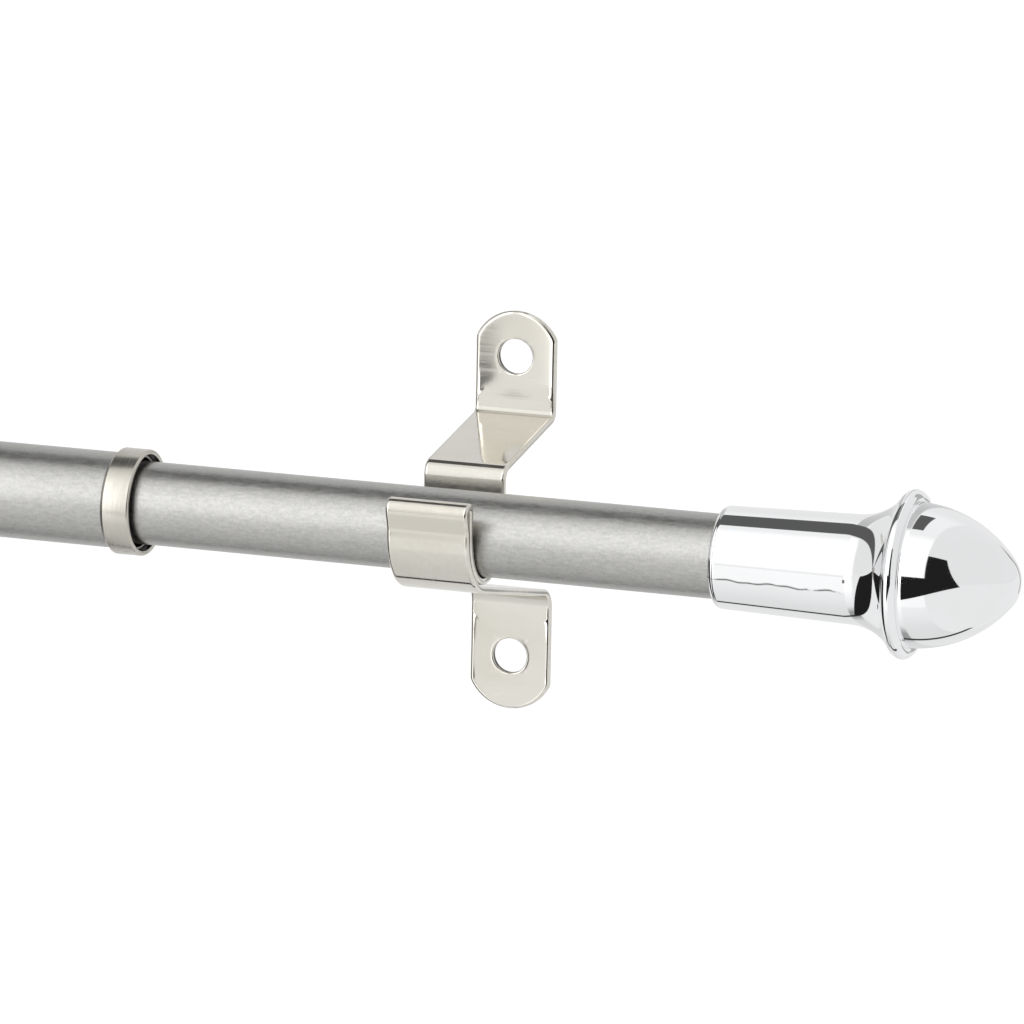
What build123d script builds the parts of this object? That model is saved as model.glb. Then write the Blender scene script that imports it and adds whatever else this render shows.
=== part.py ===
from build123d import *
import math
import os

# Extending cafe curtain rod with two wall brackets, in millimetres.
# Frame: the origin is on the wall, midway between the two screw holes of the right bracket.
# +X runs along the rod to the right finial, +Y into the wall and +Z up.

# ---- tubes: a thin inner tube slides inside a slightly thicker outer tube ----
TUBE_LENGTH = 660.0
TUBE_WALL = 0.4
OUTER_TUBE_RADIUS = 6.40
TELESCOPE_GAP = 0.45            # between the two tubes, all round
FINIAL_TO_COLLAR = 80.1         # bare inner tube between the right finial's mouth and the collar
FINIAL_TO_BRACKET = 37.9        # from a finial's mouth to the middle of its bracket

# ---- collar that dresses the mouth of the outer tube ----
COLLAR_WALL = 0.70
COLLAR_LENGTH = 4.2
COLLAR_OVERHANG = 1.0           # how far it stands past the outer tube's end
COLLAR_BACK_BEVEL = 0.45
COLLAR_LIP_ROUND = 0.30
COLLAR_FIT = 0.02

# ---- glide bush on the hidden end of the inner tube ----
BUSH_HEAD_LENGTH = 4.0
BUSH_PLUG_LENGTH = 12.0
BUSH_WALL = 1.5
BUSH_RUNNING_FIT = 0.06
BUSH_PLUG_FIT = 0.02
BUSH_BEVEL = 0.5

# ---- finials: sleeve, flare, ring bead and pointed dome ----
FINIAL_FIT = 0.05               # between a tube and the bore of its finial
SLEEVE_WALL = 1.10              # at the mouth, outside the bore
SLEEVE_LENGTH = 18.2            # from the mouth to the start of the flare
SLEEVE_DRAFT = 0.45             # how much wider the sleeve is at the flare
MOUTH_ROUND = 0.75
BEAD_CENTRE = 25.2              # from the mouth
BEAD_RADIUS = 10.97             # over the bead
BEAD_ROUND = 1.02               # of the bead's own section
BEAD_FRONT_FOOT = 152.0         # degrees round the bead's section, where the flare meets it
BEAD_BACK_FOOT = -30.0          # degrees, where the dome meets it
DOME_CENTRE = 25.6              # from the mouth to where the arch is widest
DOME_RADIUS = 9.45
DOME_ARC_RADIUS = 17.0
TIP_RADIUS = 5.0
TUBE_STOP = 24.0                # from the mouth to the shoulder that the tube end meets
TUBE_STOP_PLAY = 0.3
SHOULDER_WIDTH = 1.2
DOME_WALL = 5.0                 # solid nose left in front of the cored hole

# ---- bracket: one bent strip, folded double at the front of its hook ----
STRIP_WIDTH = 11.4
STRIP_THICKNESS = 1.0
STRIP_EDGE_ROUND = 0.3
HOOK_PLAY = 0.15                # radial room round the outer tube
SEAT_GAP = 0.08                 # under a tube that lies in its hook
WALL_DISTANCE = 27.6            # from the hook's centre to the wall
UPPER_TAB_TOP = 23.9            # heights here are above the hook's centre
LOWER_TAB_BOTTOM = -31.0
UPPER_HOLE = 17.7
LOWER_HOLE = -23.6
HOLE_RADIUS = 2.4
HOLE_EDGE_ROUND = 0.2
HOLE_DRILL_LENGTH = 6.0         # well past both faces of the strip
SAME_RADIUS = 0.01              # tells a hole's rim from the other round edges
TAB_END_RADIUS = 6.3
TAB_CORNER_RADIUS = 0.6
ARM_AT_WALL = 10.0              # where the upper arm's top face would meet the tab's front face
ARM_AT_HOOK = 6.6
LOWER_ARM_AT_WALL = -14.9
UPPER_BEND_RADIUS = 0.8
FRONT_BEND_RADIUS = 2.1
LOWER_BEND_RADIUS = 2.3
FOLD_TOP = 4.8
FOLD_OUTER_RADIUS = 1.45
FOLD_NECK_DROP = 0.4            # straight below the fold, before its outer layer closes in
FOLD_CLOSED_HEIGHT = 0.6        # where the outer layer has closed in on the inner one
FOLD_NECK_RADIUS = 2.0
LAYER_GAP = 0.12

# ---- worked out from the sizes above ----
HOOK_RADIUS = OUTER_TUBE_RADIUS + HOOK_PLAY
OUTER_TUBE_BORE = OUTER_TUBE_RADIUS - TUBE_WALL
INNER_TUBE_RADIUS = OUTER_TUBE_BORE - TELESCOPE_GAP
INNER_TUBE_BORE = INNER_TUBE_RADIUS - TUBE_WALL
HOLE_MIDDLE = (UPPER_HOLE + LOWER_HOLE) / 2
ROD_Y = -WALL_DISTANCE
RIGHT_HOOK_Z = -HOLE_MIDDLE
ROD_Z = RIGHT_HOOK_Z - (HOOK_RADIUS - INNER_TUBE_RADIUS - SEAT_GAP)
LEFT_HOOK_Z = ROD_Z + (HOOK_RADIUS - OUTER_TUBE_RADIUS - SEAT_GAP)
RIGHT_MOUTH_X = FINIAL_TO_BRACKET
COLLAR_MOUTH_X = RIGHT_MOUTH_X - FINIAL_TO_COLLAR
TUBE_IN_FINIAL = TUBE_STOP - TUBE_STOP_PLAY
INNER_TUBE_RIGHT_X = RIGHT_MOUTH_X + TUBE_IN_FINIAL
INNER_TUBE_LEFT_X = INNER_TUBE_RIGHT_X - TUBE_LENGTH
OUTER_TUBE_RIGHT_X = COLLAR_MOUTH_X - COLLAR_OVERHANG
OUTER_TUBE_LEFT_X = OUTER_TUBE_RIGHT_X - TUBE_LENGTH
LEFT_MOUTH_X = OUTER_TUBE_LEFT_X + TUBE_IN_FINIAL
LEFT_BRACKET_X = LEFT_MOUTH_X + FINIAL_TO_BRACKET


def on_rod(shape, x):
    """Places a shape drawn along +X from the origin on the rod's axis, starting at x."""
    return Pos(x, ROD_Y, ROD_Z) * shape


def turned(outline):
    """Revolves a closed outline, drawn as distance along X and radius along Y, round the X axis."""
    return revolve(make_face(outline), Axis.X)


def ring(x0, x1, inside, outside):
    """A plain ring round the X axis."""
    return turned(Polyline((x0, inside), (x1, inside), (x1, outside), (x0, outside), close=True))


def make_tube(radius):
    return ring(0, TUBE_LENGTH, radius - TUBE_WALL, radius)


def make_collar():
    """A ring with a bevelled back edge and a rounded lip, pushed over the outer tube's end."""
    bore = OUTER_TUBE_RADIUS + COLLAR_FIT
    body = ring(-COLLAR_LENGTH, 0, bore, bore + COLLAR_WALL)
    ends = body.edges().filter_by(GeomType.CIRCLE).sort_by(Axis.X)
    back_edge = ends[:2].sort_by(SortBy.RADIUS)[-1]
    body = chamfer(back_edge, COLLAR_BACK_BEVEL)
    lip = body.edges().filter_by(GeomType.CIRCLE).sort_by(Axis.X)[-2:]
    return fillet(lip, COLLAR_LIP_ROUND)


def make_glide_bush():
    """A plastic bush: its plug sits in the inner tube and its head runs in the outer tube."""
    head_radius = OUTER_TUBE_BORE - BUSH_RUNNING_FIT
    plug_radius = INNER_TUBE_BORE - BUSH_PLUG_FIT
    bore = plug_radius - BUSH_WALL
    head = ring(-BUSH_HEAD_LENGTH, 0, bore, head_radius)
    head_rim = head.edges().filter_by(GeomType.CIRCLE).sort_by(Axis.X)[:2].sort_by(SortBy.RADIUS)[-1]
    head = chamfer(head_rim, BUSH_BEVEL)
    return head + ring(0, BUSH_PLUG_LENGTH, bore, plug_radius)


def make_finial(tube_radius):
    """A moulded finial with its mouth at x = 0 and its point towards +X.

    From the mouth, the outline is a slightly tapered sleeve, a concave flare that leaves the
    sleeve in line, a round bead, and a pointed arch whose centre lies below the axis, closed by
    a small sphere that touches the arch from inside.
    """
    bore = tube_radius + FINIAL_FIT
    mouth = bore + SLEEVE_WALL
    sleeve_end = (SLEEVE_LENGTH, mouth + SLEEVE_DRAFT)
    bead_middle = BEAD_RADIUS - BEAD_ROUND
    arch_drop = DOME_ARC_RADIUS - DOME_RADIUS
    tip_middle = DOME_CENTRE + math.sqrt((DOME_ARC_RADIUS - TIP_RADIUS) ** 2 - arch_drop ** 2)
    tip_angle = math.degrees(math.atan2(arch_drop, tip_middle - DOME_CENTRE))
    nose = tip_middle + TIP_RADIUS
    core = bore - SHOULDER_WIDTH

    bead = CenterArc((BEAD_CENTRE, bead_middle), BEAD_ROUND, BEAD_FRONT_FOOT, BEAD_BACK_FOOT - BEAD_FRONT_FOOT)
    flare = TangentArc(sleeve_end, bead @ 0, tangent=(SLEEVE_LENGTH, SLEEVE_DRAFT))
    back_foot = bead @ 1
    arch_start = math.degrees(math.acos((back_foot.X - DOME_CENTRE) / DOME_ARC_RADIUS))
    arch = CenterArc((DOME_CENTRE, -arch_drop), DOME_ARC_RADIUS, arch_start, tip_angle - arch_start)
    tip = CenterArc((tip_middle, 0), TIP_RADIUS, tip_angle, -tip_angle)
    outline = Curve() + [
        Polyline((0, bore), (0, mouth), sleeve_end),
        flare,
        bead,
        Line(back_foot, arch @ 0),
        arch,
        tip,
        Polyline(tip @ 1, (nose - DOME_WALL, 0), (nose - DOME_WALL, core), (TUBE_STOP, core),
                 (TUBE_STOP, bore), (0, bore)),
    ]
    body = turned(outline)
    mouth_edge = body.edges().filter_by(GeomType.CIRCLE).sort_by(Axis.X)[:2].sort_by(SortBy.RADIUS)[-1]
    return fillet(mouth_edge, MOUTH_ROUND)


def strip_section():
    """The bracket's side view as a face: y towards the wall, z up, hook centre at the origin.

    The line that is drawn is the strip's show face, from the top of the upper tab to the bottom
    of the lower one; the strip's thickness lies behind it. The lower arm leaves the hook in line
    with its outer layer, so its slope is that of the line from the lower bend that just touches
    the outer layer's circle.
    """
    tab_front = WALL_DISTANCE - STRIP_THICKNESS
    outer_layer = HOOK_RADIUS + LAYER_GAP + 2 * STRIP_THICKNESS
    reach = math.hypot(tab_front, LOWER_ARM_AT_WALL)
    slope = math.acos(outer_layer / reach) - math.atan2(tab_front, -LOWER_ARM_AT_WALL)
    corner_z = LOWER_ARM_AT_WALL + (tab_front + outer_layer) * math.tan(slope)
    fold_z = FOLD_TOP - FOLD_OUTER_RADIUS
    fold_y = -HOOK_RADIUS - FOLD_OUTER_RADIUS
    fold_front = fold_y - FOLD_OUTER_RADIUS

    upper = FilletPolyline(
        (tab_front, UPPER_TAB_TOP),
        (tab_front, ARM_AT_WALL),
        (HOOK_RADIUS, ARM_AT_HOOK),
        (HOOK_RADIUS, 0),
        radius=[UPPER_BEND_RADIUS, FRONT_BEND_RADIUS],
    )
    hook = CenterArc((0, 0), HOOK_RADIUS, 0, -180)
    lip = Line((-HOOK_RADIUS, 0), (-HOOK_RADIUS, fold_z))
    fold = CenterArc((fold_y, fold_z), FOLD_OUTER_RADIUS, 0, 180)
    lower = FilletPolyline(
        (fold_front, fold_z),
        (fold_front, fold_z - FOLD_NECK_DROP),
        (-outer_layer, FOLD_CLOSED_HEIGHT),
        (-outer_layer, corner_z),
        (tab_front, LOWER_ARM_AT_WALL),
        (tab_front, LOWER_TAB_BOTTOM),
        radius=[FOLD_NECK_RADIUS, FOLD_NECK_RADIUS, outer_layer, LOWER_BEND_RADIUS],
    )
    show_face = Wire(Curve([upper, hook, lip, fold, lower]).edges())
    return Face(show_face.offset_2d(STRIP_THICKNESS, side=Side.LEFT, closed=True))


def bracket_front():
    """The bracket's front view as a face: straight sides, and shallow arcs at both tab ends."""
    half = STRIP_WIDTH / 2
    drop = TAB_END_RADIUS - math.sqrt(TAB_END_RADIUS ** 2 - half ** 2)
    top_side = UPPER_TAB_TOP - drop
    bottom_side = LOWER_TAB_BOTTOM + drop
    outline = Curve() + [
        Line((-half, bottom_side), (-half, top_side)),
        ThreePointArc((-half, top_side), (0, UPPER_TAB_TOP), (half, top_side)),
        Line((half, top_side), (half, bottom_side)),
        ThreePointArc((half, bottom_side), (0, LOWER_TAB_BOTTOM), (-half, bottom_side)),
    ]
    face = make_face(outline)
    return fillet(face.vertices(), TAB_CORNER_RADIUS)


def make_bracket():
    """The bent strip, trimmed to rounded ends, with rolled edges and two screw holes."""
    strip = extrude(Plane.YZ * strip_section(), STRIP_WIDTH / 2, both=True)
    body = strip & extrude(Plane.XZ * bracket_front(), 2 * WALL_DISTANCE, both=True)
    rims = body.edges().filter_by(Axis.X, reverse=True).filter_by(Axis.Y, reverse=True)
    body = fillet(rims, STRIP_EDGE_ROUND)
    drill = Rot(90, 0, 0) * Cylinder(HOLE_RADIUS, HOLE_DRILL_LENGTH)
    for height in (UPPER_HOLE, LOWER_HOLE):
        body -= Pos(0, WALL_DISTANCE, height) * drill
    circles = body.edges().filter_by(GeomType.CIRCLE)
    hole_rims = [e for e in circles if abs(e.radius - HOLE_RADIUS) < SAME_RADIUS]
    front_rims = [e for e in hole_rims if e.arc_center.Y < WALL_DISTANCE - STRIP_THICKNESS / 2]
    return fillet(front_rims, HOLE_EDGE_ROUND)


os.makedirs("parts", exist_ok=True)
bracket = make_bracket()
mirrored = Rot(0, 0, 180)
nodes = {
    "right_bracket": Pos(0, ROD_Y, RIGHT_HOOK_Z) * bracket,
    "left_bracket": Pos(LEFT_BRACKET_X, ROD_Y, LEFT_HOOK_Z) * bracket,
    "inner_tube": on_rod(make_tube(INNER_TUBE_RADIUS), INNER_TUBE_LEFT_X),
    "outer_tube": on_rod(make_tube(OUTER_TUBE_RADIUS), OUTER_TUBE_LEFT_X),
    "mouth_collar": on_rod(make_collar(), COLLAR_MOUTH_X),
    "glide_bush": on_rod(make_glide_bush(), INNER_TUBE_LEFT_X),
    "right_finial": on_rod(make_finial(INNER_TUBE_RADIUS), RIGHT_MOUTH_X),
    "left_finial": on_rod(mirrored * make_finial(OUTER_TUBE_RADIUS), LEFT_MOUTH_X),
}
for name, shape in nodes.items():
    export_step(shape, f"parts/{name}.step")
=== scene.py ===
# %% [markdown]
# # A telescoping cafe rod and its strip brackets
# The rod is two thin steel tubes, one sliding in the other, with a bright collar on the outer
# tube's mouth and a plated finial pushed over each end. It lies in two hooks bent from strip.
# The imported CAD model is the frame: it says where every piece is and what moves. This script
# gives each visible piece a finer surface and its real finish.

# %% Load the frame
import math
import bmesh
import bpy
import numpy as np
from mathutils import Matrix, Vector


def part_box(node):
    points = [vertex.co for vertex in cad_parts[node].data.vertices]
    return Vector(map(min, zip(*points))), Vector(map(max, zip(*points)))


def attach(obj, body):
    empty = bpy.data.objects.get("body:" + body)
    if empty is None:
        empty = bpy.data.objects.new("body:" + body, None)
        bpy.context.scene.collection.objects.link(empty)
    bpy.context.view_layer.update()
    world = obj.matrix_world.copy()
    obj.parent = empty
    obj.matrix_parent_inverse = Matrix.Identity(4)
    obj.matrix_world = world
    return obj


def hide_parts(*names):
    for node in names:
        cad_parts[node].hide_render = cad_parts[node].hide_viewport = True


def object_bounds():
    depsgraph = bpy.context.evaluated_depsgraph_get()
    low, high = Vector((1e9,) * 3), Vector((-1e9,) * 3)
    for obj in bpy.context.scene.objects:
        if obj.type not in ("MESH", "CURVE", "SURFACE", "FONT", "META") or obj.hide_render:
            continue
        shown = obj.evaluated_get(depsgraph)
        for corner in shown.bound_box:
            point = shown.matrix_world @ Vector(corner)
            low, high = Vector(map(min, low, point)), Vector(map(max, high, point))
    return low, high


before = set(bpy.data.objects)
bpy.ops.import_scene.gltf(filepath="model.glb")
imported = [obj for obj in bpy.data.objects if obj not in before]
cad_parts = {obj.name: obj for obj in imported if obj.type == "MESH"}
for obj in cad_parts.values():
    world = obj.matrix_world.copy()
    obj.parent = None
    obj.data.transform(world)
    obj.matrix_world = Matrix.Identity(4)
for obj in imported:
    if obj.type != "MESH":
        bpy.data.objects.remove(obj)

MM = 0.001
cad_low, cad_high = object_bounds()
print("CAD box, mm:", [round(v / MM, 1) for v in cad_high - cad_low])


# %% [markdown]
# Everything is measured from the frame: the boxes of the CAD nodes give the rod's axis, the tube
# sizes and the places of the two brackets, so the new surfaces land on the parts they stand for.

# %% Places and sizes read from the frame
def middle(low_high, axis):
    """Half way along one axis of a (low, high) box."""
    return (low_high[0][axis] + low_high[1][axis]) / 2


X, Y, Z = 0, 1, 2
inner_box, outer_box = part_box("inner_tube"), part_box("outer_tube")
collar_box, bush_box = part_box("mouth_collar"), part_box("glide_bush")
rod_axis = np.array([0.0, middle(inner_box, Y), middle(inner_box, Z)])
inner_radius = (inner_box[1].y - inner_box[0].y) / 2
outer_radius = (outer_box[1].y - outer_box[0].y) / 2
collar_radius = (collar_box[1].y - collar_box[0].y) / 2
print("tube diameters, mm:", round(2 * inner_radius / MM, 2), round(2 * outer_radius / MM, 2))


# %% [markdown]
# ## From arrays to meshes
# A surface is worked out as one array of points. Two helpers turn arrays into meshes: one joins
# the points of a grid with four-sided faces, the other writes the mesh, welds the points that
# meet at seams and poles, and turns every face outwards.

# %% Mesh helpers
WELD = 1e-7


def grid_faces(rows, columns, closed=False, first=0):
    """Faces of a grid: point (i, j) is joined with (i+1, j), (i+1, j+1) and (i, j+1).

    With closed, the last column is joined back to the first.
    """
    i, j = np.meshgrid(np.arange(rows - 1), np.arange(columns if closed else columns - 1), indexing="ij")
    k = (j + 1) % columns
    here, ahead = i * columns, (i + 1) * columns
    quads = np.stack([here + j, ahead + j, ahead + k, here + k], axis=-1)
    return quads.reshape(-1, 4) + first


def make_piece(name, points, faces, **masks):
    """Writes points (N x 3, metres) and four-sided faces into a welded, smooth, outward mesh.

    Each mask is one number per point, 0 to 1, which a finish reads as an attribute of its name.
    """
    mesh = bpy.data.meshes.new(name)
    mesh.vertices.add(len(points))
    mesh.vertices.foreach_set("co", np.ascontiguousarray(points, dtype=np.float32).ravel())
    for label, values in masks.items():
        mesh.attributes.new(label, "FLOAT", "POINT").data.foreach_set("value", values.astype(np.float32))
    mesh.loops.add(faces.size)
    mesh.loops.foreach_set("vertex_index", faces.ravel().astype(np.int32))
    mesh.polygons.add(len(faces))
    mesh.polygons.foreach_set("loop_start", np.arange(0, faces.size, 4, dtype=np.int32))
    mesh.update(calc_edges=True)
    work = bmesh.new()
    work.from_mesh(mesh)
    bmesh.ops.remove_doubles(work, verts=work.verts, dist=WELD)
    loose = [edge for edge in work.edges if not edge.link_faces]
    bmesh.ops.delete(work, geom=loose, context="EDGES")
    bmesh.ops.recalc_face_normals(work, faces=work.faces)
    open_edges = sum(1 for edge in work.edges if len(edge.link_faces) != 2)
    work.to_mesh(mesh)
    work.free()
    mesh.polygons.foreach_set("use_smooth", np.ones(len(mesh.polygons), dtype=bool))
    piece = bpy.data.objects.new(name, mesh)
    bpy.context.scene.collection.objects.link(piece)
    print(f"{name}: {len(mesh.polygons)} faces, open edges {open_edges}")
    return piece


# %% [markdown]
# ## Turned pieces
# Tubes, the collar and the finials are all round the rod's axis, so each is a profile carried
# round a circle. The profile is a closed run of (distance along the rod, radius) points; arcs in
# it are sampled every few degrees so that a mirror finish shows no facets.

# %% Turning a profile
TURN_STEPS = 192


def arc(centre, radius, start, end, step=4.0):
    """Points centre + radius (cos a, sin a) for a from start to end, in degrees."""
    a = np.radians(np.linspace(start, end, max(3, int(abs(end - start) / step) + 1)))
    return np.column_stack([centre[0] + radius * np.cos(a), centre[1] + radius * np.sin(a)])


def turn(profile, angles, start_x, direction=1, swell=None):
    """The surface (x, r sin a, r cos a) about the rod's axis for each profile point (x, r).

    swell(x, a) is added to the radius. The profile is closed, so the surface is too.
    """
    along, radius = profile[:, 0][:, None], profile[:, 1][:, None]
    a = angles[None, :]
    r = radius + (swell(along, a) if swell else np.zeros_like(a)) * (radius > 0)
    points = np.stack([
        np.broadcast_to(start_x + direction * along, r.shape),
        rod_axis[Y] - r * np.sin(a),
        rod_axis[Z] + r * np.cos(a),
    ], axis=-1)
    return points.reshape(-1, 3), grid_faces(len(profile), len(angles), closed=True)


def per_point(of_profile, angles):
    """Repeats one number per profile point for every angle, as a float per surface point."""
    return np.repeat(of_profile.astype(float), len(angles))


even_angles = np.linspace(0, 2 * np.pi, TURN_STEPS, endpoint=False)


# %% [markdown]
# ### The two tubes
# Each tube is thin drawn steel, cut to length and painted. The cut ends are slightly rounded by
# deburring, and the wall is real, because the gap between the inner tube and the collar shows it.

# %% The tubes
TUBE_WALL = 0.4 * MM
DEBURR = 0.12 * MM
TUBE_ROWS = 40


def make_tube(name, box, radius, node):
    """Outside, rounded end, bore and the other rounded end, as one closed profile."""
    length, bore = box[1].x - box[0].x, radius - TUBE_WALL
    rows = np.linspace(DEBURR, length - DEBURR, TUBE_ROWS)
    outside = np.column_stack([rows, np.full(TUBE_ROWS, radius)])
    inside = np.column_stack([rows[::-1], np.full(TUBE_ROWS, bore)])
    profile = np.vstack([
        outside,
        arc((length - DEBURR, radius - DEBURR), DEBURR, 90, 0, 15),
        arc((length - DEBURR, bore + DEBURR), DEBURR, 0, -90, 15),
        inside,
        arc((DEBURR, bore + DEBURR), DEBURR, 270, 180, 15),
        arc((DEBURR, radius - DEBURR), DEBURR, 180, 90, 15),
    ])
    points, faces = turn(profile, even_angles, box[0].x)
    # The bore is flagged as unpainted steel, and the paint colours it near-black as painted shade.
    piece = make_piece(name, points, faces, bare=per_point(profile[:, 1] < bore + WELD, even_angles))
    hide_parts(node)
    return piece


inner_tube = make_tube("inner_tube_drawn", inner_box, inner_radius, "inner_tube")
outer_tube = make_tube("outer_tube_drawn", outer_box, outer_radius, "outer_tube")
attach(inner_tube, "inner_rod")
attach(outer_tube, "outer_rod")


# %% [markdown]
# ### The collar
# A bright ring is pushed over the mouth of the outer tube and dresses its cut end. Its back edge
# is bevelled, and its lip is rolled to a thin round.

# %% The collar
COLLAR_WALL = 0.70 * MM
COLLAR_BEVEL = 0.45 * MM
COLLAR_LIP = 0.34 * MM
COLLAR_SOFT = 0.12 * MM         # the small round at each corner of the bevel


def make_collar():
    """Bevel, barrel, rolled lip and bore, as one closed profile from the back to the mouth."""
    length = collar_box[1].x - collar_box[0].x
    bore, soft = collar_radius - COLLAR_WALL, COLLAR_SOFT
    profile = np.vstack([
        [(0, bore), (0, collar_radius - COLLAR_BEVEL - soft)],
        arc((soft, collar_radius - COLLAR_BEVEL - soft), soft, 180, 135, 9),
        arc((COLLAR_BEVEL + soft, collar_radius - soft), soft, 135, 90, 9),
        arc((length - COLLAR_LIP, collar_radius - COLLAR_LIP), COLLAR_LIP, 90, 0, 6),
        arc((length - COLLAR_LIP, bore + COLLAR_LIP), COLLAR_LIP, 0, -90, 6),
        [(length / 2, bore), (0, bore)],
    ])
    points, faces = turn(profile, even_angles, collar_box[0].x)
    # The bore and the inside of the lip are flagged bare; the finish colours them near-black as painted
    # shade.
    inside = profile[:, 1] < bore + COLLAR_LIP / 4
    piece = make_piece("collar_ring", points, faces, bare=per_point(inside, even_angles))
    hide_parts("mouth_collar")
    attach(piece, "outer_rod")
    return piece


collar = make_collar()


# %% [markdown]
# ### The finials
# A finial is one hollow moulding, plated like a mirror. Its outline is a slightly tapered
# sleeve, a flare that leaves the sleeve in line, a round bead, and a pointed arch closed by a
# small sphere. The two halves of the mould leave a faint raised line along both sides, so the
# turned surface swells there by about a hundredth of a millimetre.

# %% The finials
FINIAL_FIT = 0.05 * MM
SLEEVE_WALL = 1.10 * MM
SLEEVE_LENGTH = 18.2 * MM
SLEEVE_DRAFT = 0.45 * MM
MOUTH_ROUND = 0.75 * MM
MOUTH_LIP = 0.3 * MM            # the smaller round on the inside of the mouth
BEAD_X = 25.2 * MM
BEAD_ROUND = 1.02 * MM
DOME_X = 25.6 * MM
DOME_RADIUS = 9.45 * MM
DOME_ARC = 17.0 * MM
TIP_RADIUS = 5.0 * MM
TUBE_STOP = 24.0 * MM
SHOULDER = 1.2 * MM
NOSE_WALL = 5.0 * MM
SLEEVE_ROWS = 70
PARTING_HEIGHT = 0.012 * MM
PARTING_WIDTH = 0.11 * MM
PARTING_WANDER = 0.10 * MM      # the two halves never meet in a perfectly straight line
PARTING_WAVE = 7.3 * MM
PARTING_SIDES = np.radians([103.0, 283.0])
SLEEVE_RADIUS = inner_radius + FINIAL_FIT + SLEEVE_WALL
PARTING_STEPS = np.radians(np.linspace(-3, 3, 25))


def tangent_arc(start, slope, end, steps=24):
    """The arc that leaves start along slope (radians) and arrives at end.

    Its centre lies on the normal at start, at the distance that makes it equally far from end.
    """
    normal = np.array([-math.sin(slope), math.cos(slope)])
    gap = np.array(end) - np.array(start)
    radius = gap @ gap / (2 * gap @ normal)
    centre = np.array(start) + radius * normal
    a0, a1 = (math.atan2(*(np.array(p) - centre)[::-1]) for p in (start, end))
    return arc(centre, abs(radius), math.degrees(a0), math.degrees(a1), math.degrees(abs(a1 - a0)) / steps)


def finial_profile(tube_radius, bead_radius):
    """The finial's closed outline, from its bore round the mouth to the tip and back inside."""
    bore = tube_radius + FINIAL_FIT
    mouth = bore + SLEEVE_WALL
    draft = math.atan2(SLEEVE_DRAFT, SLEEVE_LENGTH)
    bead_middle = bead_radius - BEAD_ROUND
    drop = DOME_ARC - DOME_RADIUS
    bead = arc((BEAD_X, bead_middle), BEAD_ROUND, 152, -30)
    tip_x = DOME_X + math.sqrt((DOME_ARC - TIP_RADIUS) ** 2 - drop ** 2)
    tip_angle = math.degrees(math.atan2(drop, tip_x - DOME_X))
    foot = math.degrees(math.acos((bead[-1, 0] - DOME_X) / DOME_ARC))
    dome = arc((DOME_X, -drop), DOME_ARC, foot - 1.0, tip_angle, 2)
    tip = arc((tip_x, 0), TIP_RADIUS, tip_angle, 0, 3)
    tip[-1, 1] = 0.0
    nose, core = tip_x + TIP_RADIUS, bore - SHOULDER
    sleeve_x = np.linspace(MOUTH_ROUND, SLEEVE_LENGTH, SLEEVE_ROWS)
    sleeve = np.column_stack([sleeve_x, mouth + sleeve_x * math.tan(draft)])
    return np.vstack([
        [(MOUTH_LIP, bore)],
        arc((MOUTH_LIP, bore + MOUTH_LIP), MOUTH_LIP, 270, 180, 10),
        arc((MOUTH_ROUND, mouth - MOUTH_ROUND), MOUTH_ROUND, 180, 92, 6),
        sleeve,
        tangent_arc(sleeve[-1], draft, bead[0])[1:],
        bead[1:],
        dome,
        tip[1:],
        [(nose - NOSE_WALL, 0.0), (nose - NOSE_WALL, core), (TUBE_STOP, core), (TUBE_STOP, bore)],
        [(MOUTH_LIP, bore)],
    ])


def parting_line(along, angle):
    """exp(-(d / w)^2) on the sleeve, d being the distance round it from each wandering side.

    The wander is two sine waves that never fall in step.
    """
    phase = 2 * np.pi * along / PARTING_WAVE
    wander = PARTING_WANDER * (np.sin(phase) + 0.5 * np.sin(2.7 * phase + 1)) / SLEEVE_RADIUS
    away = np.abs((angle + wander)[..., None] - PARTING_SIDES)
    distance = np.minimum(away, 2 * np.pi - away).min(axis=-1) * SLEEVE_RADIUS
    return np.where(along < SLEEVE_LENGTH, np.exp(-(distance / PARTING_WIDTH) ** 2), 0.0)


def parting_ridge(along, angle):
    """How far the surface stands up along the parting line."""
    return PARTING_HEIGHT * parting_line(along, angle)


near_sides = [side + PARTING_STEPS for side in PARTING_SIDES]
fine_angles = np.unique(np.concatenate([even_angles, *near_sides]).round(9))
print("angles round a finial:", len(fine_angles))


def make_finial(name, node, body, tube_radius, direction):
    """Turns the profile from the mouth towards the tip, which points along direction."""
    low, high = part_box(node)
    mouth_x = low.x if direction > 0 else high.x
    profile = finial_profile(tube_radius, (high.y - low.y) / 2)
    points, faces = turn(profile, fine_angles, mouth_x, direction, parting_ridge)
    seam = parting_line(profile[:, 0][:, None], fine_angles[None, :]).ravel()
    piece = make_piece(name, points, faces, seam=seam)
    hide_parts(node)
    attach(piece, body)
    return piece


right_finial = make_finial("right_finial_plated", "right_finial", "right_finial", inner_radius, 1)
left_finial = make_finial("left_finial_plated", "left_finial", "left_finial", outer_radius, -1)


# %% [markdown]
# ## The brackets
# A real bracket is made in three steps: a flat blank with round ends and two holes is punched from
# strip, its edges are rolled round, and it is bent. The surface is made the same way. The blank
# is a flat sheet of points; each point's half thickness comes from its distance to the nearest
# edge; then every point is carried along the bent line.

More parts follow.
